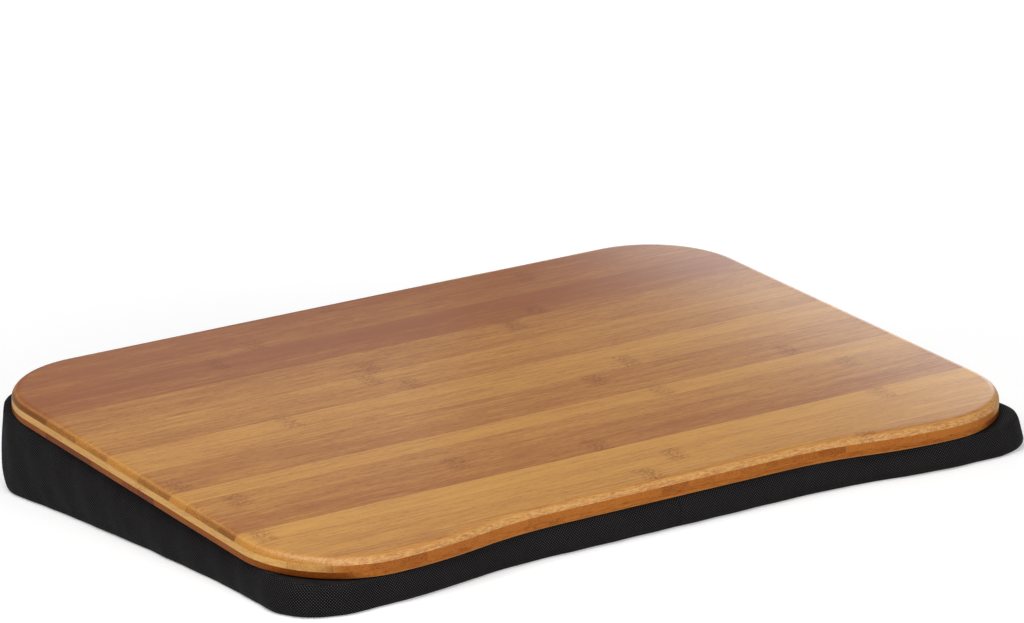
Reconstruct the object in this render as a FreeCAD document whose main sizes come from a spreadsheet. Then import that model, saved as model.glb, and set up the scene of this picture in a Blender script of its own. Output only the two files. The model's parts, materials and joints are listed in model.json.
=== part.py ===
import FreeCAD, Part
import math
import os

import Sketcher
from FreeCAD import Placement, Rotation, Vector

# A lap tray: a board of three crossed bamboo plies, glued up from strips, on a wedge cushion in a cover.
# Frame: +X to the user's right, +Y away from the user, +Z up. The origin is on the surface that the cushion
# rests on, below the middle of the board's underside. Lengths are in millimetres and angles in degrees.

SIZES = (
    # The board's outline: a rounded rectangle with a flat-bottomed recess for the body in its front edge.
    ("board_wide", 505),
    ("board_deep", 373),
    ("corner_round", 62),
    ("recess_deep", 11.8),
    ("recess_flat", 154),
    # The plies, the rounding of the finished board's upper edge and the bevel of its lower edge.
    ("top_ply", 4),
    ("core_ply", 4),
    ("bottom_ply", 4),
    ("strip_wide", 18),
    ("edge_round", 5),
    ("under_bevel", 0.8),
    # How the board lies on the cushion: its slope, and the height of its underside above the origin.
    ("tilt", 5.7),
    ("underside_mid", 35),
    # The cushion at its widest level, half way up the wall: how far it stands past the board at the sides,
    # and at the front and rear, its own recess and corners, and how far its sewn edges lie inside it.
    ("side_over", 1.5),
    ("end_over", 2.5),
    ("cushion_recess", 13.5),
    ("front_corner", 36),
    ("rear_corner", 48),
    ("base_tuck", 2),
    ("seam_tuck", 4),
    # The angle at which a drawn-in wall leaves its corners.
    ("side_draw", 4.2),
    ("rear_draw", 3),
    # The cover's cloth, the room between its wall and the filling, and the hook and loop strips that hold
    # the board to the cover.
    ("cloth", 1),
    ("filling_gap", 0.3),
    ("tape_long", 100),
    ("tape_wide", 25),
    ("hook_thick", 1.2),
    ("loop_thick", 1.3),
    ("tape_apart_x", 340),
    ("tape_apart_y", 220),
    # How far a cutting block runs past what it cuts.
    ("overrun", 10),
)

doc = FreeCAD.newDocument("lap_tray")
sheet = doc.addObject("Spreadsheet::Sheet", "sizes")
for row, (name, value) in enumerate(SIZES, 1):
    sheet.set("A%d" % row, name)
    sheet.set("B%d" % row, str(value))
    sheet.setAlias("B%d" % row, name)
doc.recompute()

pieces = []


def size(name):
    """A size from the sheet, as a plain number."""
    return float(sheet.get(name))


def piece(thing, label):
    """Gives a finished piece its name and adds it to the list that is written out."""
    thing.Label = label
    pieces.append(thing)
    return thing


# Every piece of the board, and the tape under it, is drawn flat and then laid on the cushion's slope.
ON_SLOPE = "placement(vector(0; 0; sizes.underside_mid); rotation(vector(1; 0; 0); sizes.tilt))"


def block(name, corner, extent, on_slope=False):
    """A box from expressions for its low corner and its extent along X, Y and Z."""
    box = doc.addObject("Part::Box", name)
    for prop, expression in zip(("Length", "Width", "Height"), extent):
        box.setExpression(prop, expression)
    place = "placement(vector(%s; %s; %s); rotation(vector(1; 0; 0); 0))" % corner
    box.setExpression("Placement", ON_SLOPE + " * " + place if on_slope else place)
    return box


def combine(kind, name, base, tool):
    """What two shapes share, or what is left of the first one, as the kind says."""
    result = doc.addObject(kind, name)
    result.Base = base
    result.Tool = tool
    return result


def gather(kind, name, shapes):
    """Several shapes as one, or as a group of separate solids, as the kind says."""
    result = doc.addObject(kind, name)
    if kind == "Part::Compound":
        result.Links = shapes
    else:
        result.Shapes = shapes
    return result


def arc(start, middle, end):
    """An arc edge through three points."""
    return Part.Arc(start, middle, end).toShape()


# The board's blank: the outline of the finished board, as thick as its three plies, with its edges rounded.

def outline_sketch(body):
    """Twelve lines and arcs, each tangent to the next, that the sheet's sizes fix completely."""
    sketch = body.newObject("Sketcher::SketchObject", "board_outline")
    plane = [o for o in body.Origin.OriginFeatures if o.Role == "XY_Plane"][0]
    sketch.AttachmentSupport = [(plane, "")]
    sketch.MapMode = "FlatFace"

    side = size("board_wide") / 2
    rear = size("board_deep") / 2
    corner = size("corner_round")
    recess = size("recess_deep")
    flat = size("recess_flat") / 2
    ear = side - corner
    run = ear - flat
    bend = (run**2 + recess**2) / (4 * recess)
    turn = 2 * math.atan2(recess, run)
    quarter = math.pi / 2
    up = Vector(0, 0, 1)

    def line(x0, y0, x1, y1):
        sketch.addGeometry(Part.LineSegment(Vector(x0, y0, 0), Vector(x1, y1, 0)), False)

    def bow(x, y, radius, start, end):
        sketch.addGeometry(Part.ArcOfCircle(Part.Circle(Vector(x, y, 0), up, radius), start, end), False)

    # Counter-clockwise from the rear edge. Arcs 5 and 7 bend the other way, so they are met end first.
    line(ear, rear, -ear, rear)
    bow(-ear, rear - corner, corner, quarter, 2 * quarter)
    line(-side, rear - corner, -side, corner - rear)
    bow(-ear, corner - rear, corner, 2 * quarter, 3 * quarter)
    bow(-ear, bend - rear, bend, 3 * quarter, 3 * quarter + turn)
    bow(-flat, recess - rear - bend, bend, quarter, quarter + turn)
    line(-flat, recess - rear, flat, recess - rear)
    bow(flat, recess - rear - bend, bend, quarter - turn, quarter)
    bow(ear, bend - rear, bend, 3 * quarter - turn, 3 * quarter)
    bow(ear, corner - rear, corner, 3 * quarter, 4 * quarter)
    line(side, corner - rear, side, rear - corner)
    bow(ear, rear - corner, corner, 0, quarter)

    START, END, CENTRE = 1, 2, 3
    ORIGIN, Y_AXIS = -1, -2
    REAR, REAR_LEFT, LEFT, FRONT_LEFT, EAR_LEFT, HOLLOW_LEFT = range(6)
    FLAT, HOLLOW_RIGHT, EAR_RIGHT, FRONT_RIGHT, RIGHT, REAR_RIGHT = range(6, 12)
    joints = (
        (REAR, END, REAR_LEFT, START),
        (REAR_LEFT, END, LEFT, START),
        (LEFT, END, FRONT_LEFT, START),
        (FRONT_LEFT, END, EAR_LEFT, START),
        (EAR_LEFT, END, HOLLOW_LEFT, END),
        (HOLLOW_LEFT, START, FLAT, START),
        (FLAT, END, HOLLOW_RIGHT, END),
        (HOLLOW_RIGHT, START, EAR_RIGHT, START),
        (EAR_RIGHT, END, FRONT_RIGHT, START),
        (FRONT_RIGHT, END, RIGHT, START),
        (RIGHT, END, REAR_RIGHT, START),
        (REAR_RIGHT, END, REAR, START),
    )
    for joint in joints:
        sketch.addConstraint(Sketcher.Constraint("Tangent", *joint))
    for other in (FRONT_LEFT, FRONT_RIGHT, REAR_RIGHT):
        sketch.addConstraint(Sketcher.Constraint("Equal", REAR_LEFT, other))
    for other in (HOLLOW_LEFT, HOLLOW_RIGHT, EAR_RIGHT):
        sketch.addConstraint(Sketcher.Constraint("Equal", EAR_LEFT, other))
    for upright in (LEFT, RIGHT):
        sketch.addConstraint(Sketcher.Constraint("Vertical", upright))
    for level in (REAR, FLAT):
        sketch.addConstraint(Sketcher.Constraint("Symmetric", level, START, level, END, Y_AXIS))
    sketch.addConstraint(Sketcher.Constraint("Vertical", FRONT_LEFT, CENTRE, EAR_LEFT, START))
    sketch.addConstraint(Sketcher.Constraint("Vertical", FRONT_RIGHT, CENTRE, EAR_RIGHT, END))

    sized = (
        ("Radius", (REAR_LEFT,), corner, "sizes.corner_round"),
        ("DistanceX", (LEFT, START, RIGHT, END), 2 * side, "sizes.board_wide"),
        ("DistanceY", (ORIGIN, START, REAR, START), rear, "sizes.board_deep / 2"),
        ("DistanceY", (EAR_LEFT, START, REAR, START), 2 * rear, "sizes.board_deep"),
        ("DistanceX", (FLAT, START, FLAT, END), 2 * flat, "sizes.recess_flat"),
        ("DistanceY", (EAR_LEFT, START, FLAT, START), recess, "sizes.recess_deep"),
    )
    for kind, where, value, expression in sized:
        number = sketch.addConstraint(Sketcher.Constraint(kind, *where, value))
        sketch.setExpression("Constraints[%d]" % number, expression)
    return sketch


def edges_at(shape, height):
    """The names of a shape's edges that lie level at a height."""
    names = []
    for number, edge in enumerate(shape.Edges, 1):
        off = max(abs(edge.BoundBox.ZMin - height), abs(edge.BoundBox.ZMax - height))
        if off < shape.getTolerance(1):
            names.append("Edge%d" % number)
    return names


def board_blank():
    """The outline raised to the board's thickness, with a round upper edge and a bevelled lower edge."""
    body = doc.addObject("PartDesign::Body", "board_blank")
    pad = body.newObject("PartDesign::Pad", "plies")
    pad.Profile = outline_sketch(body)
    pad.setExpression("Length", "sizes.bottom_ply + sizes.core_ply + sizes.top_ply")
    doc.recompute()
    upper = body.newObject("PartDesign::Fillet", "upper_edge")
    upper.Base = (pad, edges_at(pad.Shape, pad.Length.Value))
    upper.setExpression("Radius", "sizes.edge_round")
    doc.recompute()
    lower = body.newObject("PartDesign::Chamfer", "lower_edge")
    lower.Base = (upper, edges_at(upper.Shape, 0))
    lower.setExpression("Size", "sizes.under_bevel")
    body.Tip = lower
    doc.recompute()
    return body


# The strips: each ply is the blank between two levels, sawn into strips of one width about the middle line.
# The two outer strips of a ply take what is left, from half a strip to one and a half.

def strip_spans(across):
    """Expressions for the start and the width of each strip over a board size, from the low side."""
    beside = max(1, round(size(across) / (2 * size("strip_wide")) - 0.5))
    edge = "(sizes.%s / 2 + sizes.overrun)" % across
    spans = [("(%d - 0.5) * sizes.strip_wide" % k, "sizes.strip_wide") for k in range(-beside, beside + 1)]
    outer = "%s - (%d - 0.5) * sizes.strip_wide" % (edge, beside)
    spans[0] = ("-" + edge, outer)
    spans[-1] = (spans[-1][0], outer)
    return spans


def ply_strips(name, blank, base, ply, along_x):
    """The strips of one ply, whose underside is at base above the board's, laid on the slope."""
    long_way = "board_wide" if along_x else "board_deep"
    far = "-(sizes.%s / 2 + sizes.overrun)" % long_way
    length = "sizes.%s + 2 * sizes.overrun" % long_way
    strips = []
    for number, (start, width) in enumerate(strip_spans("board_deep" if along_x else "board_wide"), 1):
        corner = (far, start, base) if along_x else (start, far, base)
        extent = (length, width, ply) if along_x else (width, length, ply)
        saw = block("%s_saw_%02d" % (name, number), corner, extent)
        strip = combine("Part::Common", "%s_%02d" % (name, number), blank, saw)
        strip.setExpression("Placement", ON_SLOPE)
        strips.append(strip)
    return strips


blank = board_blank()

for strip in ply_strips("top_strip", blank, "sizes.bottom_ply + sizes.core_ply", "sizes.top_ply", True):
    piece(strip, strip.Name)

for strip in ply_strips("core_strip", blank, "sizes.bottom_ply", "sizes.core_ply", False):
    piece(strip, strip.Name)

front, *others = ply_strips("bottom_strip", blank, "0", "sizes.bottom_ply", True)
piece(front, "bottom_strip_front")
piece(gather("Part::Compound", "bottom_ply", others), "bottom_strips")


# The cushion's form: a wedge between the floor and the board's underside. Its levels lean like the leaves of
# a fan about the line where those two planes would meet, so the wall swells evenly, high or low.

def cushion_outline(inset, hinge):
    """One level of the cushion, in its own plane, with Y measured from the fan's line.

    The side and rear walls are drawn in between the corners, and the front follows the board's recess.
    """
    half = size("board_wide") / 2 + size("side_over") - inset
    rear = size("board_deep") / 2 + size("end_over") - inset
    front, rear = -rear - hinge, rear - hinge
    round_front = size("front_corner") - inset
    round_rear = size("rear_corner") - inset
    recess = size("cushion_recess")
    flat = size("recess_flat") / 2
    side_draw = math.radians(size("side_draw"))
    rear_draw = math.radians(size("rear_draw"))

    def on(centre, radius, angle):
        return Vector(centre.x + radius * math.cos(angle), centre.y + radius * math.sin(angle), 0)

    pulled_x, pulled_y = math.cos(side_draw), math.cos(rear_draw)
    front_centre = Vector(-half + round_front * pulled_x, front + round_front, 0)
    rear_centre = Vector(-half + round_rear * pulled_x, rear - round_rear * pulled_y, 0)
    ear = Vector(front_centre.x, front, 0)
    side_low = on(front_centre, round_front, math.pi - side_draw)
    side_high = on(rear_centre, round_rear, math.pi + side_draw)
    rear_end = on(rear_centre, round_rear, math.pi / 2 - rear_draw)
    side_sag = (side_high.y - side_low.y) / 2 * math.tan(side_draw / 2)
    rear_sag = -rear_end.x * math.tan(rear_draw / 2)

    # The front wall's bend: two like arcs, level at the ear and at the flat of the recess.
    run = -flat - ear.x
    bend = (run**2 + recess**2) / (4 * recess)
    turn = math.atan2(recess, run)
    rise = bend * (1 - math.cos(turn))
    reach = bend * math.sin(turn)
    hollow = Vector(-flat, front + recess, 0)
    change = (ear + hollow) / 2

    left = (
        (rear_end, on(rear_centre, round_rear, 3 * math.pi / 4), side_high),
        (side_high, Vector(side_high.x + side_sag, (side_high.y + side_low.y) / 2, 0), side_low),
        (side_low, on(front_centre, round_front, 5 * math.pi / 4), ear),
        (ear, Vector(ear.x + reach, ear.y + rise, 0), change),
        (change, Vector(hollow.x - reach, hollow.y - rise, 0), hollow),
    )

    def mirrored(point):
        return Vector(-point.x, point.y, 0)

    edges = [arc(mirrored(rear_end), Vector(0, rear_end.y - rear_sag, 0), rear_end)]
    edges += [arc(*points) for points in left]
    edges.append(Part.LineSegment(hollow, mirrored(hollow)).toShape())
    edges += [arc(*[mirrored(p) for p in reversed(points)]) for points in reversed(left)]
    return Part.Wire(edges)


def cushion_form(name, inset):
    """The wedge lofted from the base seam through the widest level to the top seam, set in all round.

    From the widest level, half way up, the wall curves in to both seams as a parabola does.
    """
    hinge = -size("underside_mid") / math.tan(math.radians(size("tilt")))
    level_shares = (0, 0.25, 0.5, 0.75, 1)
    levels = []
    for number, share in enumerate(level_shares, 1):
        from_middle = 2 * share - 1
        tuck = size("base_tuck") if share < 0.5 else size("seam_tuck")
        level = doc.addObject("Part::Feature", "%s_level_%d" % (name, number))
        level.Shape = cushion_outline(tuck * from_middle**2 + inset, hinge)
        level.Placement = Placement(Vector(0, hinge, 0), Rotation(Vector(1, 0, 0), share * size("tilt")))
        levels.append(level)
    form = doc.addObject("Part::Loft", name)
    form.Sections = levels
    form.Solid = True
    form.Ruled = True
    return form


outer_form = cushion_form("outer_form", 0)
inner_form = cushion_form("inner_form", size("cloth"))
filling_form = cushion_form("filling_form", size("cloth") + size("filling_gap"))

# The hook and loop strips: four pairs between the board and the cover's top panel. The loop side is sewn to
# the panel, which dips under each pair, so that the panel still lies against the board all round.

TAPE_SIDES = ((-1, -1), (1, -1), (1, 1), (-1, 1))


def tape_blocks(name, low, high, margin):
    """A block for each pair of strips, between two levels below the board's underside, with a margin."""
    blocks = []
    for number, (right, back) in enumerate(TAPE_SIDES, 1):
        corner = (
            "%d * sizes.tape_apart_x / 2 - sizes.tape_long / 2 - %s" % (right, margin),
            "%d * sizes.tape_apart_y / 2 - sizes.tape_wide / 2 - %s" % (back, margin),
            "-(%s)" % low,
        )
        extent = (
            "sizes.tape_long + 2 * %s" % margin,
            "sizes.tape_wide + 2 * %s" % margin,
            "%s - %s" % (low, high),
        )
        blocks.append(block("%s_%d" % (name, number), corner, extent, on_slope=True))
    return blocks


pair = "(sizes.hook_thick + sizes.loop_thick)"
pair_and_cloth = "(%s + sizes.cloth)" % pair
hooks = gather("Part::Compound", "hooks", tape_blocks("hook_strip", "sizes.hook_thick", "0", "0"))
loops = gather("Part::Compound", "loops", tape_blocks("loop_strip", pair, "sizes.hook_thick", "0"))
dents = gather("Part::MultiFuse", "dents", tape_blocks("dent", pair, "0", "0"))
trays = gather("Part::MultiFuse", "trays", tape_blocks("tray", pair_and_cloth, "0", "sizes.cloth"))

# The cover: a base panel and a top panel of cloth, and a wall of two bands that meet in upright seams in the
# middle of the front and of the rear. The filling takes the room inside.

reach_x = "(sizes.board_wide / 2 + sizes.side_over + sizes.overrun)"
reach_y = "(sizes.board_deep / 2 + sizes.end_over + sizes.overrun)"
wide, deep = "2 * " + reach_x, "2 * " + reach_y
tall = "(2 * sizes.underside_mid + sizes.overrun)"

layer = (wide, deep, "sizes.cloth + sizes.overrun")
half = (reach_x, deep, tall)
base_layer = block("base_layer", ("-" + reach_x, "-" + reach_y, "-sizes.overrun"), layer)
top_layer = block("top_layer", ("-" + reach_x, "-" + reach_y, "-sizes.cloth"), layer, on_slope=True)
left_half = block("left_half", ("-" + reach_x, "-" + reach_y, "-sizes.overrun"), half)
right_half = block("right_half", ("0", "-" + reach_y, "-sizes.overrun"), half)

top_sheet = combine("Part::Common", "top_sheet", inner_form, top_layer)
dipped_sheet = gather("Part::MultiFuse", "dipped_sheet", [top_sheet, trays])
wall = combine("Part::Cut", "wall", outer_form, inner_form)
cloth_layers = gather("Part::MultiFuse", "cloth_layers", [base_layer, top_layer, trays])

piece(hooks, "hook_strips")
piece(loops, "loop_strips")
piece(combine("Part::Cut", "top_panel", dipped_sheet, dents), "cover_top_panel")
piece(combine("Part::Common", "band_left", wall, left_half), "cover_band_left")
piece(combine("Part::Common", "band_right", wall, right_half), "cover_band_right")
piece(combine("Part::Common", "base_panel", inner_form, base_layer), "cover_base_panel")
piece(combine("Part::Cut", "filling", filling_form, cloth_layers), "cushion_filling")

doc.recompute()
for thing in doc.Objects:
    if "Invalid" in thing.State or "Error" in thing.State:
        raise RuntimeError("%s is %s" % (thing.Label, thing.State))
for thing in pieces:
    if thing.Shape.isNull() or not thing.Shape.isValid() or not thing.Shape.Solids:
        raise RuntimeError("%s has no sound solid" % thing.Label)

os.makedirs("parts", exist_ok=True)
for thing in pieces:
    thing.Shape.exportStep("parts/%s.step" % thing.Label)
    print("%-18s %2d solid(s) %10.0f mm3" % (thing.Label, len(thing.Shape.Solids), thing.Shape.Volume))
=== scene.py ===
import json
import math

import bmesh
import bpy
import numpy as np
from mathutils import Euler, Matrix, Vector


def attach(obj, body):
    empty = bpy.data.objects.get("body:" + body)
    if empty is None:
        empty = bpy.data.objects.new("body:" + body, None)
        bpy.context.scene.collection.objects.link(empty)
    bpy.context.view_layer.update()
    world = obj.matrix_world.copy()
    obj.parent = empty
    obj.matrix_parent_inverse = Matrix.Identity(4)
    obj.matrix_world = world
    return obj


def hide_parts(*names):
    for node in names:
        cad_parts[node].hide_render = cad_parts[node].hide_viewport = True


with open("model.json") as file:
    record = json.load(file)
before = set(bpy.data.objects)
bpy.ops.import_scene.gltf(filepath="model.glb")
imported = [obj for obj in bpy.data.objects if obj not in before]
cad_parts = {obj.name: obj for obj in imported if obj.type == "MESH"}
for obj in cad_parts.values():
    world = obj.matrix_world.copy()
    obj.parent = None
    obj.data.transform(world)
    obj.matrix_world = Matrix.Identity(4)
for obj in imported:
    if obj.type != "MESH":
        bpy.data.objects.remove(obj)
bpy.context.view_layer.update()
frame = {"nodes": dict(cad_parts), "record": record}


# The cushion: a wedge of soft filling in a cover sewn from a base panel, a top panel and two side
# bands of black woven cloth, which meet in an upright seam in front and behind. It stands on z = 0
# with its user at -Y, and its top slopes down towards the user, as the board on it does.
MM = 0.001
BOARD_WIDE, BOARD_DEEP, BOARD_THICK = 505 * MM, 373 * MM, 12 * MM
CORNER_ROUND, RECESS_FLAT = 62 * MM, 154 * MM
tray_top = next(mount for mount in frame["record"]["mounts"] if mount["name"] == "tray_top")
SLOPE = math.atan2(-tray_top["axis"][1], tray_top["axis"][2])
UNDERSIDE = tray_top["pos_m"][2] - BOARD_THICK * math.cos(SLOPE)
CUSHION_HALF = BOARD_WIDE / 2 + 1.5 * MM
CUSHION_REAR = BOARD_DEEP / 2 + 2.5 * MM
CUSHION_RECESS = 13.5 * MM
CUSHION_FRONT_ROUND, CUSHION_REAR_ROUND = 36 * MM, 48 * MM
SIDE_DRAW, REAR_DRAW = math.radians(4.2), math.radians(3)
REAR_ROUND_STEPS, SIDE_STEPS, FRONT_ROUND_STEPS, RECESS_STEPS = 30, 76, 28, 20
REAR_HALF_STEPS, FRONT_HALF_STEPS, SEAM_STEPS = 44, 18, 9
REAR_SEAM_NEAR, FRONT_SEAM_NEAR = 0.012, 0.03


def bow(start, middle, end, shares):
    """Points on the circle through three points, at shares of the angle, and the ways out there.

    The board or cushion lies to the left of the run. Three points in line give a straight run.
    """
    start, middle, end = (np.asarray(point, float) for point in (start, middle, end))
    (bx, by), (cx, cy) = middle - start, end - start
    cross = bx * cy - by * cx
    if abs(cross) < 1e-9:
        points = start + shares[:, None] * (end - start)
        return points, np.broadcast_to(np.array((cy, -cx)) / math.hypot(cx, cy), points.shape)
    b2, c2 = bx * bx + by * by, cx * cx + cy * cy
    centre = start + np.array((cy * b2 - by * c2, bx * c2 - cx * b2)) / (2 * cross)
    (ax, ay), (ex, ey) = start - centre, end - centre
    sweep = math.atan2(ax * ey - ay * ex, ax * ex + ay * ey)
    angle = math.atan2(ay, ax) + shares * sweep
    ray = np.stack((np.cos(angle), np.sin(angle)), axis=-1)
    return centre + math.hypot(ax, ay) * ray, math.copysign(1, sweep) * ray


def even(count):
    """Shares of a run at even steps, without its end."""
    return np.arange(count) / count


def seamed(count, near):
    """Shares of a run with close steps near its middle, for an upright seam there."""
    side = np.linspace(0, 0.5 - near, count)
    middle = np.linspace(0.5 - near, 0.5 + near, SEAM_STEPS)
    return np.concatenate((side, middle[1:-1], 1 - side[:0:-1]))


def tray_outline(half, rear, recess, front_round, rear_round, side_draw=0, rear_draw=0):
    """The outline from above, anticlockwise from the rear's right end, and the ways out from it.

    Arcs round the corners, sides and rear that are drawn in between them as arcs, and in front a
    recess with a flat middle, which two like arcs, tangent to each other, lead into from the ear
    at each end.
    """
    def on(centre, radius, angle):
        return centre[0] + radius * math.cos(angle), centre[1] + radius * math.sin(angle)

    def mirrored(point):
        return -point[0], point[1]

    front_mid = (-half + front_round * math.cos(side_draw), -rear + front_round)
    rear_mid = (-half + rear_round * math.cos(side_draw), rear - rear_round * math.cos(rear_draw))
    ear = (front_mid[0], -rear)
    side_low = on(front_mid, front_round, math.pi - side_draw)
    side_high = on(rear_mid, rear_round, math.pi + side_draw)
    rear_end = on(rear_mid, rear_round, math.pi / 2 - rear_draw)
    side_sag = (side_high[1] - side_low[1]) / 2 * math.tan(side_draw / 2)
    side_mid = (side_high[0] + side_sag, (side_high[1] + side_low[1]) / 2)
    rear_sag = -rear_end[0] * math.tan(rear_draw / 2)
    hollow = (-RECESS_FLAT / 2, recess - rear)
    run = hollow[0] - ear[0]
    bend, turn = (run**2 + recess**2) / (4 * recess), math.atan2(recess, run)
    reach, rise = bend * math.sin(turn), bend * (1 - math.cos(turn))
    change = ((ear[0] + hollow[0]) / 2, (ear[1] + hollow[1]) / 2)
    rear_corner = on(rear_mid, rear_round, 3 * math.pi / 4)
    front_corner = on(front_mid, front_round, 5 * math.pi / 4)
    left = (
        (rear_end, rear_corner, side_high, even(REAR_ROUND_STEPS)),
        (side_high, side_mid, side_low, even(SIDE_STEPS)),
        (side_low, front_corner, ear, even(FRONT_ROUND_STEPS)),
        (ear, (ear[0] + reach, ear[1] + rise), change, even(RECESS_STEPS)),
        (change, (hollow[0] - reach, hollow[1] - rise), hollow, even(RECESS_STEPS)),
    )
    runs = [bow(mirrored(rear_end), (0, rear_end[1] - rear_sag), rear_end,
                seamed(REAR_HALF_STEPS, REAR_SEAM_NEAR))]
    runs += [bow(*points) for points in left]
    runs.append(bow(hollow, (0, hollow[1]), mirrored(hollow),
                    seamed(FRONT_HALF_STEPS, FRONT_SEAM_NEAR)))
    runs += [bow(mirrored(end), mirrored(middle), mirrored(start), shares)
             for start, middle, end, shares in reversed(left)]
    return np.concatenate([r[0] for r in runs]), np.concatenate([r[1] for r in runs])


def sock_faces(rows, columns):
    """Faces of a closed sock: rows of points that go round, joined by quads, with two end faces."""
    grid = np.arange(rows * columns).reshape(rows, columns)
    after = np.roll(grid, -1, axis=1)
    quads = np.stack((grid[:-1], after[:-1], after[1:], grid[1:]), axis=-1).reshape(-1, 4)
    return [grid[0, ::-1].tolist(), grid[-1].tolist()] + quads.tolist()


def zipped(ring, mirror):
    """Faces across a ring that mirrors itself about a column, each point joined to its like."""
    half = len(ring) // 2
    turned = np.roll(ring, -mirror)
    left, right = turned[1:half], turned[:half:-1]
    ladder = np.stack((left[:-1], left[1:], right[1:], right[:-1]), axis=-1).tolist()
    return [[turned[0], left[0], right[0]], [left[-1], turned[half], right[-1]]] + ladder


def placed(name, mesh, material, nodes=()):
    """A mesh with a finish as a piece of the tray, which takes the place of CAD nodes."""
    mesh.materials.append(material)
    made = bpy.data.objects.new(name, mesh)
    bpy.context.scene.collection.objects.link(made)
    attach(made, "root")
    if nodes:
        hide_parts(*nodes)
    return made


def smooth_piece(name, points, faces, material, slot, nodes=()):
    """A smooth piece from an array of points and its faces."""
    mesh = bpy.data.meshes.new(name)
    mesh.from_pydata(np.asarray(points).reshape(-1, 3).tolist(), [], faces)
    mesh.polygons.foreach_set("use_smooth", [True] * len(mesh.polygons))
    return placed(name, mesh, material, nodes)


def fill_sockets(node, sockets):
    """Gives a node's sockets their values, or the wires that lead to them."""
    for name, value in sockets.items():
        if isinstance(value, Wire):
            value.tree.links.new(value.socket, node.inputs[name])
        else:
            node.inputs[name].default_value = value


class Wire:
    """A socket of a material's nodes. Sums of wires and numbers add the Math nodes for them."""

    def __init__(self, tree, socket=None):
        self.tree, self.socket = tree, socket

    def node(self, kind, settings, sockets, out=0):
        """A new node: its settings, then the values of its sockets or the wires to them."""
        made = self.tree.nodes.new(kind)
        for name, value in settings.items():
            setattr(made, name, value)
        fill_sockets(made, sockets)
        return Wire(self.tree, made.outputs[out])

    def other(self, out):
        """Another output of the same node."""
        return Wire(self.tree, self.socket.node.outputs[out])

    def math(self, operation, *others):
        """A Math node on this wire, and on more wires or numbers."""
        return self.node("ShaderNodeMath", {"operation": operation},
                         dict(enumerate((self, *others))))

    def __add__(self, other):
        return self.math("ADD", other)

    def __sub__(self, other):
        return self.math("SUBTRACT", other)

    def __rsub__(self, other):
        return self.node("ShaderNodeMath", {"operation": "SUBTRACT"}, {0: other, 1: self})

    def __mul__(self, other):
        return self.math("MULTIPLY", other)

    def __truediv__(self, other):
        return self.math("DIVIDE", other)

    def __abs__(self):
        return self.math("ABSOLUTE")

    __radd__ = __add__
    __rmul__ = __mul__

    def ease(self, low, high):
        """Rises smoothly from 0 at low to 1 at high."""
        return self.node("ShaderNodeMapRange", {"interpolation_type": "SMOOTHSTEP"},
                         {"Value": self, "From Min": low, "From Max": high})

    def mix(self, first, second):
        """The first colour where this is 0, and the second where it is 1."""
        return self.node("ShaderNodeMix", {"data_type": "RGBA"}, {0: self, 6: first, 7: second},
                         out=2)


def rgb(red, green, blue):
    """A colour as a socket takes it."""
    return red, green, blue, 1


def new_material(name):
    """A material with its shader, and a wire with nothing on it yet."""
    material = bpy.data.materials.new(name)
    material.use_nodes = True
    return material, material.node_tree.nodes["Principled BSDF"], Wire(material.node_tree)


def woven_cloth(name):
    """Plain weave on the cloth's own UV map, in metres: yarns go over and under each other in turn.

    The weave is the product of a sine along each yarn direction: high where a yarn is on top, in a
    lattice of dots painted paler as a highlight, and low in the gaps between, painted darker as
    shade.
    Slow noise makes the cloth a little worn, with dust in places, and fine noise makes the yarn
    uneven.
    """
    yarn = 0.82 * MM
    material, shader, wire = new_material(name)
    cloth = wire.node("ShaderNodeUVMap", {"uv_map": "cloth"}, {})
    u = wire.node("ShaderNodeSeparateXYZ", {}, {0: cloth}, "X")
    v = u.other("Y")
    warp = (u * (math.pi / yarn)).math("SINE")
    weft = (v * (math.pi / yarn)).math("SINE")
    place = wire.node("ShaderNodeTexCoord", {}, {}, "Object")
    worn = wire.node("ShaderNodeTexNoise", {}, {"Vector": place, "Scale": 60, "Detail": 3})
    slub = wire.node("ShaderNodeTexNoise", {}, {"Vector": place, "Scale": 1500, "Detail": 1})
    crossing = warp * weft
    # Painted highlight: the dots where a yarn is on top are paler. Painted shade: the gaps between
    # yarns are darker.
    dots = crossing.ease(0.3, 0.9) * (0.2 + 1.6 * slub)
    hole_shade = abs(crossing).ease(0.25, 0.0)
    shade = 1.25 * dots + 0.05 * worn.ease(0.35, 0.75) - 0.1 * hole_shade + 0.005
    # The paler colour is mostly a painted highlight on the yarn tops, and a little dust.
    black, yarn_highlight_and_dust = rgb(0.0022, 0.0020, 0.0021), rgb(0.061, 0.056, 0.057)
    bump = wire.node("ShaderNodeBump", {}, {
        "Strength": 0.5, "Distance": 0.15 * MM, "Height": abs(crossing) + 0.3 * slub}, "Normal")
    fill_sockets(shader, {
        "Base Color": shade.math("MAXIMUM", 0).mix(black, yarn_highlight_and_dust), "Normal": bump,
        "Roughness": 0.82, "Specular IOR Level": 0.09})
    return material


def cushion_outline(tuck=0):
    """The cushion's outline from above, taken in all round by a tuck, and the ways out from it."""
    return tray_outline(
        CUSHION_HALF - tuck, CUSHION_REAR - tuck, CUSHION_RECESS, CUSHION_FRONT_ROUND - tuck,
        CUSHION_REAR_ROUND - tuck, SIDE_DRAW, REAR_DRAW)


# Levels of the wall lean like the leaves of a fan about the line where the floor and the board's
# underside would meet. Towards the rear the wall stands more upright.
FAN = -UNDERSIDE / math.tan(SLOPE)
TOP_TUCK, BASE_TUCK, BASE_TUCK_SHARE = 4 * MM, 2 * MM, 0.3
SEAM_FOLD, SEAM_FOLD_SHARE = 0.7 * MM, 0.06
REAR_UPRIGHT, UPRIGHT_FROM, UPRIGHT_TO = 3 * MM, -60 * MM, 140 * MM
wall_shares = np.array((0, 0.025, 0.07, 0.14, 0.24, 0.36, 0.5, 0.64, 0.76, 0.86, 0.93, 0.975, 1))


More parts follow.
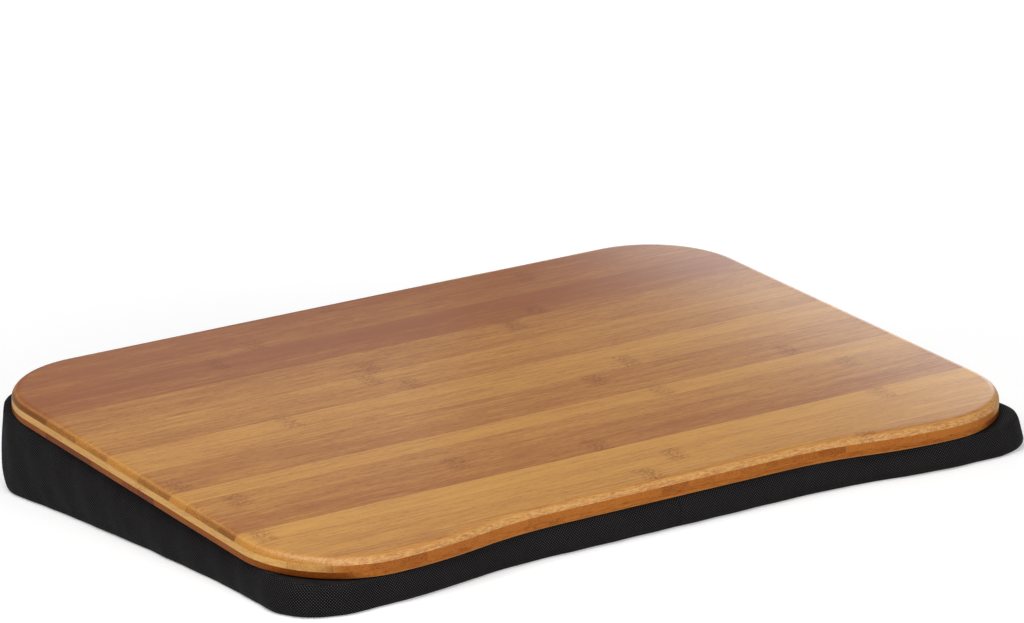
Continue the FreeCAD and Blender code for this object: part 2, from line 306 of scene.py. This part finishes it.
def cushion_level(share):
    """One level of the wall, from the base seam at 0 to the top seam at 1.

    It is widest a little above the floor, leans in up to the top seam, and turns in more just at
    each fold.
    """
    tuck = TOP_TUCK * share**1.5 + BASE_TUCK * max(0, 1 - share / BASE_TUCK_SHARE)**2
    tuck += SEAM_FOLD * max(0, 1 - min(share, 1 - share) / SEAM_FOLD_SHARE)**2
    points = cushion_outline(tuck)[0]
    reach, lean = points[:, 1] - FAN, share * SLOPE
    return np.stack((points[:, 0], FAN + reach * math.cos(lean), reach * math.sin(lean)), axis=-1)


wall = np.stack([cushion_level(share) for share in wall_shares])
out = cushion_outline()[1]
upright = np.interp(wall[0, :, 1], (UPRIGHT_FROM, UPRIGHT_TO), (0, REAR_UPRIGHT))
wall[..., :2] += (wall_shares[:, None] * upright)[..., None] * out

# The panels close the wall below and above. Under the board the top panel sinks, and past the
# board's corners it rises beside the edge, and its seam by half of that.
INNER_CIRCLE = 60 * MM
TOP_CLEAR, TOP_SINK, SINK_WITHIN = 0.2 * MM, 3.2 * MM, 9 * MM
CORNER_RISE, RISE_FROM, PANEL_RISE_TO, SEAM_RISE_TO = 1.3 * MM, 0.5 * MM, 4 * MM, 6 * MM
panel_shares = np.array((0.985, 0.965, 0.94, 0.9, 0.82, 0.68, 0.5, 0.3))


def panel_rows(seam, middle):
    """Rows of a panel, from near its seam inwards: points go straight in, and end on a circle.

    At each share of the way the row is the seam made smaller, mixed more and more with the circle.
    """
    spoke = seam - middle
    reach = np.linalg.norm(spoke, axis=-1, keepdims=True)
    share = panel_shares[:, None, None]
    circle = np.interp(share, (0.3, 0.9), (1, 0))
    return middle + spoke * (share * (1 - circle) + circle * INNER_CIRCLE / reach)


def past_board(points):
    """How far points lie outside the board's rounded rectangle, and less than 0 inside it."""
    past = np.abs(points[..., :2]) - np.array((BOARD_WIDE, BOARD_DEEP)) / 2 + CORNER_ROUND
    outside = np.hypot(*np.moveaxis(np.maximum(past, 0), -1, 0))
    return outside + np.minimum(past.max(axis=-1), 0) - CORNER_ROUND


base_panel = panel_rows(wall[0], np.zeros(3))[::-1]
top_panel = panel_rows(wall[-1], np.array((0, 0, UNDERSIDE)))
sink = np.minimum(np.interp(panel_shares, (0.93, 0.985), (TOP_SINK, 0))[:, None],
                  np.interp(-past_board(top_panel), (0, SINK_WITHIN), (0, TOP_SINK)))
panel_rise = np.interp(past_board(top_panel), (RISE_FROM, PANEL_RISE_TO), (0, 1))
seam_rise = np.interp(past_board(wall[-1]), (RISE_FROM, SEAM_RISE_TO), (0, 1))
top_panel[..., 2] += CORNER_RISE * panel_rise - sink - TOP_CLEAR
wall[-1, :, 2] += CORNER_RISE / 2 * seam_rise - TOP_CLEAR

cushion_rows = np.concatenate((base_panel, wall, top_panel))
rows, columns = cushion_rows.shape[:2]
first_wall, last_wall = len(base_panel), len(base_panel) + len(wall) - 1
grid = np.arange(rows * columns).reshape(rows, columns)
rear_seam = int(np.argmin(np.abs(wall[0, :, 0]) - wall[0, :, 1]))
base_end = [face[::-1] for face in zipped(grid[0], rear_seam)]
top_end = zipped(grid[-1], rear_seam)
cushion = smooth_piece(
    "cushion", cushion_rows, sock_faces(rows, columns)[2:] + base_end + top_end,
    woven_cloth("black_woven_cloth"), "cover_cloth",
    ("cover_top_panel", "cover_band_left", "cover_band_right", "cover_base_panel",
     "cushion_filling"))

# The filling swells the wall between its seams.
SWELL_FRAMES, SWELL_LIMIT = 20, 3 * MM


def swell(piece, rest, held):
    """The cushion blown up from inside as cloth, held where it is sewn or rests.

    How far a point moves is limited: far moves come near the limit along a tanh curve.
    """
    group = piece.vertex_groups.new(name="held")
    group.add(np.flatnonzero(held).tolist(), 1, "REPLACE")
    cloth = piece.modifiers.new("swell", "CLOTH")
    settings = cloth.settings
    settings.quality = 6
    settings.mass = 0.2
    settings.tension_stiffness = settings.compression_stiffness = 12
    settings.bending_stiffness = 0.4
    settings.use_pressure = True
    settings.uniform_pressure_force = 4
    settings.effector_weights.gravity = 0
    settings.vertex_group_mass = group.name
    cloth.point_cache.frame_end = SWELL_FRAMES
    for step in range(1, SWELL_FRAMES + 1):
        bpy.context.scene.frame_set(step)
    swollen = piece.evaluated_get(bpy.context.evaluated_depsgraph_get()).to_mesh()
    points = np.empty(rest.size)
    swollen.vertices.foreach_get("co", points)
    piece.modifiers.remove(cloth)
    piece.vertex_groups.remove(group)
    bpy.context.scene.frame_set(1)
    move = points.reshape(rest.shape) - rest
    far = np.linalg.norm(move, axis=-1, keepdims=True)
    return rest + move * SWELL_LIMIT * np.tanh(far / SWELL_LIMIT) / np.maximum(far, 1e-12)


row = np.arange(rows)
sewn = np.broadcast_to(((row <= first_wall) | (row >= last_wall))[:, None], (rows, columns))
cushion_rows = swell(cushion, cushion_rows, sewn.ravel())

# Along the seams the cloth puckers a little, between them it has soft slanting creases that wander,
# and the upright seams are drawn in as a groove.
PUCKERS = (0.16 * MM, 2.1 * MM, 0.4), (0.2 * MM, 4.7 * MM, 1.9), (0.3 * MM, 13 * MM, 0.8)
CREASES = (0.42 * MM, 5.1 * MM, 41 * MM), (0.9 * MM, 23 * MM, 67 * MM)
CREASE_SLANT, CREASE_WANDER = 0.5, 2
SEAM_GROOVE, GROOVE_HALF = 0.9 * MM, 0.9 * MM


def on_wall(values):
    """One value for each level of the wall, as a column for all rows, with 0 on the panels."""
    column = np.zeros((rows, 1))
    column[first_wall:last_wall + 1, 0] = values
    return column


steps = np.linalg.norm(np.roll(wall[0], -1, axis=0) - wall[0], axis=-1)
around = np.concatenate(((0,), np.cumsum(steps)))
pucker = sum(size * np.sin(around[:-1] / length + phase) for size, length, phase in PUCKERS)
slant = around[:-1] + CREASE_SLANT * cushion_rows[..., 2]
crease = sum(size * np.sin(slant / length + CREASE_WANDER * np.sin(slant / longer))
             for size, length, longer in CREASES)
groove = SEAM_GROOVE * np.exp(-(wall[len(wall) // 2, :, 0] / GROOVE_HALF)**2)
between = (wall_shares > 0) & (wall_shares < 1)
puckered = on_wall(between * (1 - 0.7 * np.sin(np.pi * wall_shares)))
creased = on_wall(np.interp(wall_shares, (0, 0.25, 0.8, 1), (0.45, 1, 0.8, 0.2)))
push = puckered * pucker + creased * crease - on_wall(between) * groove
cushion_rows[..., :2] += push[..., None] * out
cushion.data.vertices.foreach_set("co", cushion_rows.ravel())


def corners(sheet):
    """The four corners of each quad of a grid whose last column repeats the first."""
    return np.stack((sheet[:-1, :-1], sheet[:-1, 1:], sheet[1:, 1:], sheet[1:, :-1]), axis=2)


# The cloth's map: along the wall and up it on the bands, and across and back on the panels.
closed_rows = np.concatenate((cushion_rows, cushion_rows[:, :1]), axis=1)
band_map = np.stack(np.broadcast_arrays(around, closed_rows[..., 2]), axis=-1)
on_band = ((row[:-1] >= first_wall) & (row[:-1] < last_wall))[:, None, None, None]
quad_map = np.where(on_band, corners(band_map), corners(closed_rows[..., :2]))
end_map = cushion_rows.reshape(-1, 3)[np.concatenate(base_end + top_end), :2]
cushion.data.uv_layers.new(name="cloth").data.foreach_set(
    "uv", np.concatenate((quad_map.ravel(), end_map.ravel())))
softened = cushion.modifiers.new("softened", "SUBSURF")
softened.levels = softened.render_levels = 1


# The upright seams: beside the groove where the two bands meet, in front and behind, a row of
# stitches in black twisted thread holds the seam allowance flat.
STITCH_LONG, STITCH_STEP, STITCH_THICK = 2.4 * MM, 3.2 * MM, 0.6 * MM
STITCH_OFF = 2.2 * MM
STITCH_RINGS, STITCH_SIDES, STITCH_TIP = 6, 8, 0.12


def stitch_row(line):
    """Stitches along a line: lying ellipsoids, at even steps of its length, half sunk in it."""
    run = np.concatenate(((0,), np.cumsum(np.linalg.norm(np.diff(line, axis=0), axis=-1))))
    middles = np.arange(STITCH_STEP, run[-1] - STITCH_STEP / 2, STITCH_STEP)
    at = np.stack([np.interp(middles, run, part) for part in line.T], axis=-1)
    before = np.stack([np.interp(middles - MM, run, part) for part in line.T], axis=-1)
    along = (at - before) / np.linalg.norm(at - before, axis=-1, keepdims=True)
    side = np.broadcast_to((1.0, 0.0, 0.0), along.shape)
    off = np.cross(along, side)
    tilt, turn = np.meshgrid(np.linspace(STITCH_TIP, math.pi - STITCH_TIP, STITCH_RINGS),
                             np.arange(STITCH_SIDES) * math.tau / STITCH_SIDES, indexing="ij")
    shape = (-np.cos(tilt) * STITCH_LONG / 2, np.sin(tilt) * np.cos(turn) * STITCH_THICK / 2,
             np.sin(tilt) * np.sin(turn) * STITCH_THICK / 2)
    points = at[:, None, None] + sum(
        axis[:, None, None] * part[None, ..., None]
        for axis, part in zip((along, side, off), shape))
    faces = [[corner + tilt.size * number for corner in face]
             for number in range(len(at)) for face in sock_faces(STITCH_RINGS, STITCH_SIDES)]
    return points, faces


def twisted_thread(name):
    """Black thread with its twist as slanting bands."""
    material, shader, wire = new_material(name)
    place = wire.node("ShaderNodeTexCoord", {}, {}, "Object")
    twist = wire.node("ShaderNodeTexWave", {"bands_direction": "DIAGONAL"},
                      {"Vector": place, "Scale": 900}, "Fac")
    bump = wire.node("ShaderNodeBump", {}, {
        "Strength": 0.5, "Distance": 0.1 * MM, "Height": twist}, "Normal")
    fill_sockets(shader, {
        "Base Color": twist.mix(rgb(0.003, 0.003, 0.0032), rgb(0.012, 0.012, 0.0125)),
        "Normal": bump, "Roughness": 0.75, "Specular IOR Level": 0.1})
    return material


thread = twisted_thread("black_thread")
for name, way in (("front_stitches", -1), ("rear_stitches", 1)):
    this_side = cushion_rows[first_wall, :, 1] * way > 0
    beside = np.where(this_side, np.abs(wall[0, :, 0] - STITCH_OFF), np.inf)
    seam_line = cushion_rows[first_wall:last_wall + 1, int(np.argmin(beside))]
    smooth_piece(name, *stitch_row(seam_line), thread, "cover_cloth")


# Hook and loop tape: four pairs of strips hold the board on the cushion. The hook strips are stuck
# under the board and the loop strips are sewn on the cover, so the cushion comes off to be washed.
def tape(name, ground, raised, pitch, roughness):
    """Rows of small hooks or loops, as a lattice of dots on the strip's Object coordinates."""
    material, shader, wire = new_material(name)
    place = wire.node("ShaderNodeTexCoord", {}, {}, "Object")
    lattice = wire.node("ShaderNodeTexVoronoi", {}, {
        "Vector": place, "Scale": 1 / pitch, "Randomness": 0.25}, "Distance")
    nap = wire.node("ShaderNodeTexNoise", {}, {"Vector": place, "Scale": 900, "Detail": 2})
    tip = (1 - lattice.ease(0.1, 0.6)) * (0.6 + 0.6 * nap)
    bump = wire.node("ShaderNodeBump", {}, {
        "Strength": 0.6, "Distance": 0.3 * MM, "Height": tip}, "Normal")
    fill_sockets(shader, {
        "Base Color": tip.mix(ground, raised), "Normal": bump, "Roughness": roughness})
    return material


def finish(node, material):
    """A CAD node's own solids with a finish."""
    mesh = frame["nodes"][node].data
    mesh.materials.clear()
    mesh.materials.append(material)


finish("hook_strips", tape(
    "hook_tape", ground=rgb(0.012, 0.012, 0.013), raised=rgb(0.03, 0.03, 0.032), pitch=1.3 * MM,
    roughness=0.45))
finish("loop_strips", tape(
    "loop_tape", ground=rgb(0.01, 0.01, 0.011), raised=rgb(0.024, 0.024, 0.026), pitch=0.8 * MM,
    roughness=0.9))


# The board: three plies of bamboo strips, 18 mm wide and 4 mm thick, glued up with the core
# crossing the outer plies. It is cut to a rounded outline with a shallow recess in front, rounded
# on top, sanded and lacquered.
RECESS_DEEP = 11.8 * MM
PLY, STRIP_WIDE = 4 * MM, 18 * MM
EDGE_ROUND, EDGE_STEPS = 5 * MM, 15
UNDER_BEVEL, FLAT_RIM = 0.8 * MM, 0.8 * MM
LEVEL_GAP = 0.05 * MM
KNUCKLE_STEP = 420 * MM
STRIP_OWN = "tone", "shift", "knuckle"

board_edge, board_out = tray_outline(
    BOARD_WIDE / 2, BOARD_DEEP / 2, RECESS_DEEP, CORNER_ROUND, CORNER_ROUND)


def edge_profile(low, high):
    """The board's edge between two levels: (how far in from the outline, height) from low to high.

    A bevel at the underside, eased in steps, an upright face, and a quarter round that ends level
    with the top, with a narrow flat rim inside it.
    """
    start = BOARD_THICK - EDGE_ROUND
    angles = np.radians(np.linspace(0, 90, EDGE_STEPS))
    bevel = UNDER_BEVEL * np.array(((1, 0), (0.45, 0.2), (0.12, 0.6), (0, 1)))
    upright = ((0, PLY), (0, start))
    quarter = np.stack((EDGE_ROUND * (1 - np.cos(angles)), start + EDGE_ROUND * np.sin(angles)),
                       axis=-1)
    inset, height = np.concatenate((bevel, upright, quarter)).T
    inside = (height > low + LEVEL_GAP) & (height < high - LEVEL_GAP)
    heights = np.concatenate(((low,), height[inside], (high,)))
    insets = np.interp(heights, height, inset)
    if high == BOARD_THICK:
        heights, insets = np.append(heights, high), np.append(insets, EDGE_ROUND + FLAT_RIM)
    return insets, heights


def ply_blank(low, high):
    """A ply before it is sawn: the edge's profile carried round the outline, with flat faces."""
    insets, heights = edge_profile(low, high)
    plan = board_edge - insets[:, None, None] * board_out
    levels = np.broadcast_to(heights[:, None, None], plan.shape[:2] + (1,))
    rings = np.concatenate((plan, levels), axis=-1)
    mesh = bpy.data.meshes.new("blank")
    mesh.from_pydata(rings.reshape(-1, 3).tolist(), [], sock_faces(*rings.shape[:2]))
    return mesh


def sawn(blank, axis, low, high):
    """The part of a blank between two saw cuts square to an axis, with the sawn faces closed."""
    work = bmesh.new()
    work.from_mesh(blank)
    for level, way in ((low, -1), (high, 1)):
        at, square = Vector((0, 0, 0)), Vector((0, 0, 0))
        at[axis], square[axis] = level, way
        cut = bmesh.ops.bisect_plane(
            work, geom=work.verts[:] + work.edges[:] + work.faces[:], dist=1e-7, plane_co=at,
            plane_no=square, clear_outer=True)
        rim = [edge for edge in cut["geom_cut"]
               if isinstance(edge, bmesh.types.BMEdge) and edge.is_boundary]
        if rim:
            bmesh.ops.edgenet_fill(work, edges=rim)
    bmesh.ops.recalc_face_normals(work, faces=work.faces[:])
    mesh = bpy.data.meshes.new("strip")
    work.to_mesh(mesh)
    work.free()
    return mesh


def bamboo(name, grain, lacquer, pale, deep, sanded_and_highlight, end_pale, end_deep, end_turn):
    """Lacquered bamboo, cut as solid wood is: fibres run along the grain, and end as dots.

    Noise is stretched along the grain and shifted for each strip. The face's tone is the strip's
    own, with streaks. Knuckles come at even steps along a strip, as flecked bands across it, from
    its own place on. As the edge turns, the long grain gives way to the end grain between the two
    cosines of end_turn. Lengths are in millimetres here.
    """
    material, shader, wire = new_material(name)
    place = wire.node("ShaderNodeTexCoord", {}, {}, "Object")
    flat = wire.node("ShaderNodeMapping", {"vector_type": "TEXTURE"}, {
        "Vector": place, "Location": (0, 0, UNDERSIDE), "Rotation": (SLOPE, 0, 0),
        "Scale": (MM, MM, MM)})
    x = wire.node("ShaderNodeSeparateXYZ", {}, {"Vector": flat}, "X")
    y, z = x.other("Y"), x.other("Z")
    along, across = (x, y) if grain == "X" else (y, x)
    tone, shift, knuckle = [
        wire.node("ShaderNodeAttribute", {"attribute_name": own}, {}, "Fac") for own in STRIP_OWN]
    normal = wire.node("ShaderNodeNewGeometry", {}, {}, "Normal")

    def facing(way):
        """The cosine of the angle between the surface's way and another."""
        return wire.node("ShaderNodeVectorMath", {"operation": "DOT_PRODUCT"},
                         {0: normal, 1: way}, "Value")

    def streaks(length, width, detail, seed):
        """Noise drawn out along the grain, to about that length and width."""
        point = wire.node("ShaderNodeCombineXYZ", {}, {
            "X": along / length + 40 * shift + seed, "Y": across / width + 25 * shift,
            "Z": z / width})
        return wire.node("ShaderNodeTexNoise", {}, {
            "Vector": point, "Scale": 1, "Detail": detail, "Roughness": 0.6})

    # The face: clouds, bands, fibres and vessels over the strip's tone, and the glue lines.
    cloudy = streaks(110, 15, 2, 3.7)
    fibres = streaks(17, 0.85, 3, 11.2)
    vessels = streaks(5, 0.5, 2, 29.4).ease(0.5, 0.72)
    bands = streaks(48, 2.6, 3, 53.8)
    shade = (tone + 0.6 * (cloudy - 0.5) + (bands - 0.5) + 1.2 * (fibres - 0.5) + 0.5 * vessels
             - 0.14)
    face = shade.ease(-0.35, 1.35).mix(pale, deep)
    strip_half, knuckle_half = STRIP_WIDE / MM / 2, KNUCKLE_STEP / MM / 2
    joint = abs((across - strip_half).math("WRAP", strip_half, -strip_half))
    glue = rgb(deep[0] * 0.5, deep[1] * 0.45, deep[2] * 0.5)
    face = (0.4 * (1 - joint.ease(0.04, 0.3))).mix(face, glue)

    # The knuckles.
    near = abs(knuckle.math("WRAP", knuckle_half, -knuckle_half)
               + 12 * (streaks(40, 5, 2, 17.1) - 0.5))
    flecks = streaks(2.4, 0.85, 1, 5.5).ease(0.48, 0.58)
    knot = (1 - near.ease(3, 9)) * (0.08 + 0.92 * flecks)
    fleck = rgb(deep[0] * 0.6, deep[1] * 0.5, deep[2] * 0.5)
    face = (0.55 * knot).mix(face, fleck)

    # The rounded edge, where sanding opens the grain: pale grit with dark specks between. The pale
    # colour is partly sanding and partly a painted sheen on the rounding. Faces that look down,
    # such as the underside
    # bevel, are painted pale too: partly sanding, partly a painted highlight along the lower rim.
    lean = 1 - facing((0, -math.sin(SLOPE), math.cos(SLOPE)))
    grit = streaks(3, 1.3, 2, 41.3).ease(0.4, 0.6)
    rounded = lean.ease(0.03, 0.3) * (1 - lean.ease(0.75, 1))
    # Pale rounding and downward faces: partly sanded wood, partly painted highlight.
    face = (rounded * (0.15 + 0.8 * grit) + 0.7 * lean.ease(1.1, 1.3)).mix(face, sanded_and_highlight)
    specks = streaks(4, 0.9, 2, 71.9).ease(0.5, 0.62)
    face = (0.5 * rounded * specks).mix(face, deep)

    # The end grain, with the bundles of fibres as dots.
    cell = wire.node("ShaderNodeCombineXYZ", {}, {
        "X": along / 25 + 40 * shift, "Y": across / 0.85, "Z": z / 0.7})
    bundle = wire.node("ShaderNodeTexVoronoi", {}, {"Vector": cell, "Scale": 1}, "Distance")
    dots = 1 - bundle.ease(0.12, 0.55)
    end_shade = 1.5 * tone + 0.5 * (cloudy - 0.5) + 0.7 * dots - 0.52
    end_face = end_shade.ease(-0.1, 1.2).mix(end_pale, end_deep)
    grain_way = (1, 0, 0) if grain == "X" else (0, math.cos(SLOPE), math.sin(SLOPE))
    on_end = abs(facing(grain_way)).ease(*end_turn)

    height = fibres + 0.6 * vessels - on_end * dots
    bump = wire.node("ShaderNodeBump", {}, {
        "Strength": 0.25, "Distance": 0.05 * MM, "Height": height}, "Normal")
    fill_sockets(shader, {
        "Base Color": on_end.mix(face, end_face), "Normal": bump,
        "Roughness": 0.14 + 0.08 * fibres + 0.3 * lean.ease(0.02, 0.2),
        "Specular IOR Level": lacquer})
    return material


def on_slope(points):
    """Points (x, y, height over the underside) turned about X by the slope, and raised to it."""
    x, y, z = np.moveaxis(points, -1, 0)
    cos, sin = math.cos(SLOPE), math.sin(SLOPE)
    return np.stack((x, y * cos - z * sin, UNDERSIDE + y * sin + z * cos), axis=-1)


def strip_cuts(half):
    """Where a ply is sawn: strips of one width about the middle line, and the rest at the edges."""
    count = math.ceil(half / STRIP_WIDE - 0.5)
    return (np.arange(2 * count + 2) - count - 0.5) * STRIP_WIDE


def strip_looks(cuts, seed, tones=(0.15, 0.85), knuckles=()):
    """For each strip its cuts, tone, shift of the grain and first knuckle, which may be given."""
    chance = np.random.default_rng(seed)
    count = len(cuts) - 1
    looks = np.stack((cuts[:-1], cuts[1:], chance.uniform(*tones, count),
                      chance.uniform(0, 1, count), chance.uniform(-0.15, 0.15, count)), axis=-1)
    for number, at in knuckles:
        looks[number - 1, 4] = at * MM
    return looks


def lay_strips(name, mesh, axis, looks, material, nodes):
    """A sawn strip, or several in one piece, laid on the slope with each strip's own values."""
    points = np.empty(len(mesh.vertices) * 3)
    mesh.vertices.foreach_get("co", points)
    points = points.reshape(-1, 3)
    own_values = np.empty((len(STRIP_OWN), len(points)))
    for low, high, tone, shift, knuckle in looks:
        inside = (points[:, axis] > low - 1e-6) & (points[:, axis] < high + 1e-6)
        own_values[0, inside], own_values[1, inside] = tone, shift
        own_values[2, inside] = (points[inside, 1 - axis] - knuckle) / MM
    for own, values in zip(STRIP_OWN, own_values):
        mesh.attributes.new(own, "FLOAT", "POINT").data.foreach_set("value", values)
    mesh.vertices.foreach_set("co", on_slope(points).ravel())
    mesh.polygons.foreach_set("use_smooth", [True] * len(mesh.polygons))
    mesh.set_sharp_from_angle(angle=math.radians(35))
    mesh.name = name
    placed(name, mesh, material, nodes)


def joined(meshes):
    """Several meshes as one."""
    work = bmesh.new()
    for mesh in meshes:
        work.from_mesh(mesh)
    mesh = bpy.data.meshes.new("strips")
    work.to_mesh(mesh)
    work.free()
    return mesh


# The bottom ply: strips of brown bamboo from side to side, glued under the core and bevelled below.
# Only their edges are seen. The front one has the recess in it.
bottom_bamboo = bamboo(
    "bamboo_bottom", "X", lacquer=0.06, pale=rgb(0.6, 0.222, 0.04), deep=rgb(0.24, 0.057, 0.008),
    sanded_and_highlight=rgb(0.55, 0.25, 0.07), end_pale=rgb(0.32, 0.088, 0.012),
    end_deep=rgb(0.15, 0.03, 0.005), end_turn=(0.3, 0.5))
rear_cuts = strip_cuts(BOARD_DEEP / 2)
bottom_blank = ply_blank(0, PLY)
bottom_looks = strip_looks(rear_cuts, 5)
bottom_strips = [sawn(bottom_blank, 1, *look[:2]) for look in bottom_looks]
lay_strips("bamboo_bottom_front", bottom_strips[0], 1, bottom_looks[:1], bottom_bamboo,
           ["bottom_strip_front"])
lay_strips("bamboo_bottom_strips", joined(bottom_strips[1:]), 1, bottom_looks[1:], bottom_bamboo,
           ["bottom_strips"])

# The core: strips of paler bamboo from front to rear, glued between the outer plies. Their ends
# show in front and behind, and one long side at each end of the board.
core_bamboo = bamboo(
    "bamboo_core", "Y", lacquer=0.1, pale=rgb(0.8, 0.46, 0.15), deep=rgb(0.5, 0.225, 0.052),
    sanded_and_highlight=rgb(0.62, 0.32, 0.09), end_pale=rgb(0.44, 0.145, 0.022),
    end_deep=rgb(0.2, 0.048, 0.007), end_turn=(0.72, 0.9))
core_blank = ply_blank(PLY, 2 * PLY)
core_looks = strip_looks(strip_cuts(BOARD_WIDE / 2), 8, tones=(0.27, 0.73))
for number, look in enumerate(core_looks, 1):
    lay_strips("bamboo_core_%02d" % number, sawn(core_blank, 0, *look[:2]), 0, [look], core_bamboo,
               ["core_strip_%02d" % number])

# The top ply: strips of warm brown bamboo from side to side, lacquered, whose faces are the tray's
# top. Two strips in front are of deeper wood, and towards the rear all of them are darker, partly
# in the wood's own tone and partly as painted shade.
FRONT_DEEP, FRONT_DEEPER = slice(4, 6), 0.25
REAR_FROM, REAR_DARKER = (0, 40 * MM, 150 * MM), (0, 0.4, 0.58)
top_bamboo = bamboo(
    "bamboo_top", "X", lacquer=0.42, pale=rgb(0.66, 0.335, 0.082), deep=rgb(0.318, 0.099, 0.033),
    sanded_and_highlight=rgb(0.62, 0.34, 0.115), end_pale=rgb(0.53, 0.225, 0.036),
    end_deep=rgb(0.2, 0.06, 0.007), end_turn=(0.45, 0.8))
top_blank = ply_blank(2 * PLY, 3 * PLY)
top_looks = strip_looks(rear_cuts, 12207, tones=(0.13, 0.8), knuckles=(
    (2, -9), (3, 21), (4, 181), (7, 196), (9, -241)))
top_looks[FRONT_DEEP, 2] += FRONT_DEEPER
# Darker towards the rear: partly the wood's own tone, partly painted shade.
top_looks[:, 2] += np.interp(top_looks[:, 0], REAR_FROM, REAR_DARKER)
for number, look in enumerate(top_looks, 1):
    lay_strips("bamboo_top_%02d" % number, sawn(top_blank, 1, *look[:2]), 1, [look], top_bamboo,
               ["top_strip_%02d" % number])


# The floor: plain white and matt, so that it keeps the tray's soft shadow, and paler further off.
# It lies a hair below the tray and is clear from below, so that the cushion's base can be seen.
FLOOR_HALF, FLOOR_LEVEL = 12, -0.3 * MM
floor_paint, plain_shader, paint = new_material("floor_paint")
paint.tree.nodes.remove(plain_shader)
eye = paint.node("ShaderNodeLightPath", {}, {}, "Is Camera Ray")
seen = eye.math("MAXIMUM", eye.other("Is Glossy Ray"))
seen = seen.math("MAXIMUM", eye.other("Is Transmission Ray"))
where = paint.node("ShaderNodeTexCoord", {}, {}, "Object")
distance = paint.node("ShaderNodeVectorMath", {"operation": "LENGTH"}, {0: where}, "Value")
lift = 0.3 + 0.4 * distance.ease(0.3, 1.2) + 0.3 * distance.ease(1.5, 6)
matt = paint.node("ShaderNodeBsdfDiffuse", {}, {"Color": rgb(0.8, 0.8, 0.8)})
glow = paint.node("ShaderNodeEmission", {}, {"Color": rgb(1, 1, 1), "Strength": lift * seen})
above = paint.node("ShaderNodeAddShader", {}, {0: matt, 1: glow})
below = paint.node("ShaderNodeBsdfTransparent", {}, {})
underneath = paint.node("ShaderNodeNewGeometry", {}, {}, "Backfacing")
sides = paint.node("ShaderNodeMixShader", {}, {0: underneath, 1: above, 2: below})
fill_sockets(paint.tree.nodes["Material Output"], {"Surface": sides})
floor_mesh = bpy.data.meshes.new("floor")
floor_mesh.from_pydata([(x * FLOOR_HALF, y * FLOOR_HALF, FLOOR_LEVEL) for x, y in (
    (-1, -1), (1, -1), (1, 1), (-1, 1))], [], [(0, 1, 2, 3)])
floor_mesh.materials.append(floor_paint)
floor = bpy.data.objects.new("floor", floor_mesh)
bpy.context.scene.collection.objects.link(floor)


# The light: a large soft lamp over the left side, another in front, and two pale panels behind,
# one at each side, that the lacquer mirrors. The room is white to the camera alone, and else dim.
def soft_lamp(name, at, towards, wide, high, power, roll=0):
    """A rectangular lamp that faces a point, turned about that line by an angle."""
    lamp = bpy.data.lights.new(name, "AREA")
    lamp.shape = "RECTANGLE"
    lamp.size, lamp.size_y, lamp.energy = wide, high, power
    made = bpy.data.objects.new(name, lamp)
    aim = (Vector(towards) - Vector(at)).to_track_quat("-Z", "Y").to_matrix().to_4x4()
    made.matrix_world = Matrix.Translation(at) @ aim @ Matrix.Rotation(roll, 4, "Z")
    made.visible_camera = False
    bpy.context.scene.collection.objects.link(made)


soft_lamp("over_lamp", at=(-1.0, -0.4, 2.0), towards=(0, 0, 0), wide=1.8, high=1.8, power=41)
soft_lamp("front_lamp", at=(-0.3, -2.6, 1.0), towards=(0, 0, 0.05), wide=2.0, high=1.0, power=34)
soft_lamp("side_panel", at=(0.66, 0.50, 0.147), towards=(0.22, -0.02, 0.05), wide=0.62, high=0.384,
          power=1.26, roll=math.radians(-20))
soft_lamp("rear_panel", at=(0.475, 1.12, 0.56), towards=(-0.08, 0.18, 0.065), wide=0.4, high=0.16,
          power=0.07, roll=math.radians(-14))
ROOM_DIM = 0.17
world = bpy.data.worlds.new("room")
world.use_nodes = True
bpy.context.scene.world = world
room_eye = Wire(world.node_tree).node("ShaderNodeLightPath", {}, {}, "Is Camera Ray")
fill_sockets(world.node_tree.nodes["Background"], {
    "Color": rgb(1, 1, 1), "Strength": ROOM_DIM + (1 - ROOM_DIM) * room_eye})


# The camera: in front, to the left and well back, with a long lens. It is turned to the right,
# dips towards the tray, and rolls a little.
CAMERA_AT = (-1.61249, -2.57263, 0.87298)
CAMERA_TURN, CAMERA_DIP = math.radians(32.209), math.radians(14.416)
CAMERA_ROLL = math.radians(-3.052)
CAMERA_LENS, CAMERA_SENSOR = 188.55, 36
camera_data = bpy.data.cameras.new("camera")
camera_data.sensor_fit = "HORIZONTAL"
camera_data.sensor_width = CAMERA_SENSOR
camera_data.lens = CAMERA_LENS
camera = bpy.data.objects.new("camera", camera_data)
camera.matrix_world = (
    Matrix.Translation(CAMERA_AT)
    @ Euler((math.pi / 2 - CAMERA_DIP, 0, -CAMERA_TURN)).to_matrix().to_4x4()
    @ Matrix.Rotation(CAMERA_ROLL, 4, "Z"))
bpy.context.scene.collection.objects.link(camera)
bpy.context.scene.camera = camera
bpy.context.scene.view_settings.view_transform = "Standard"
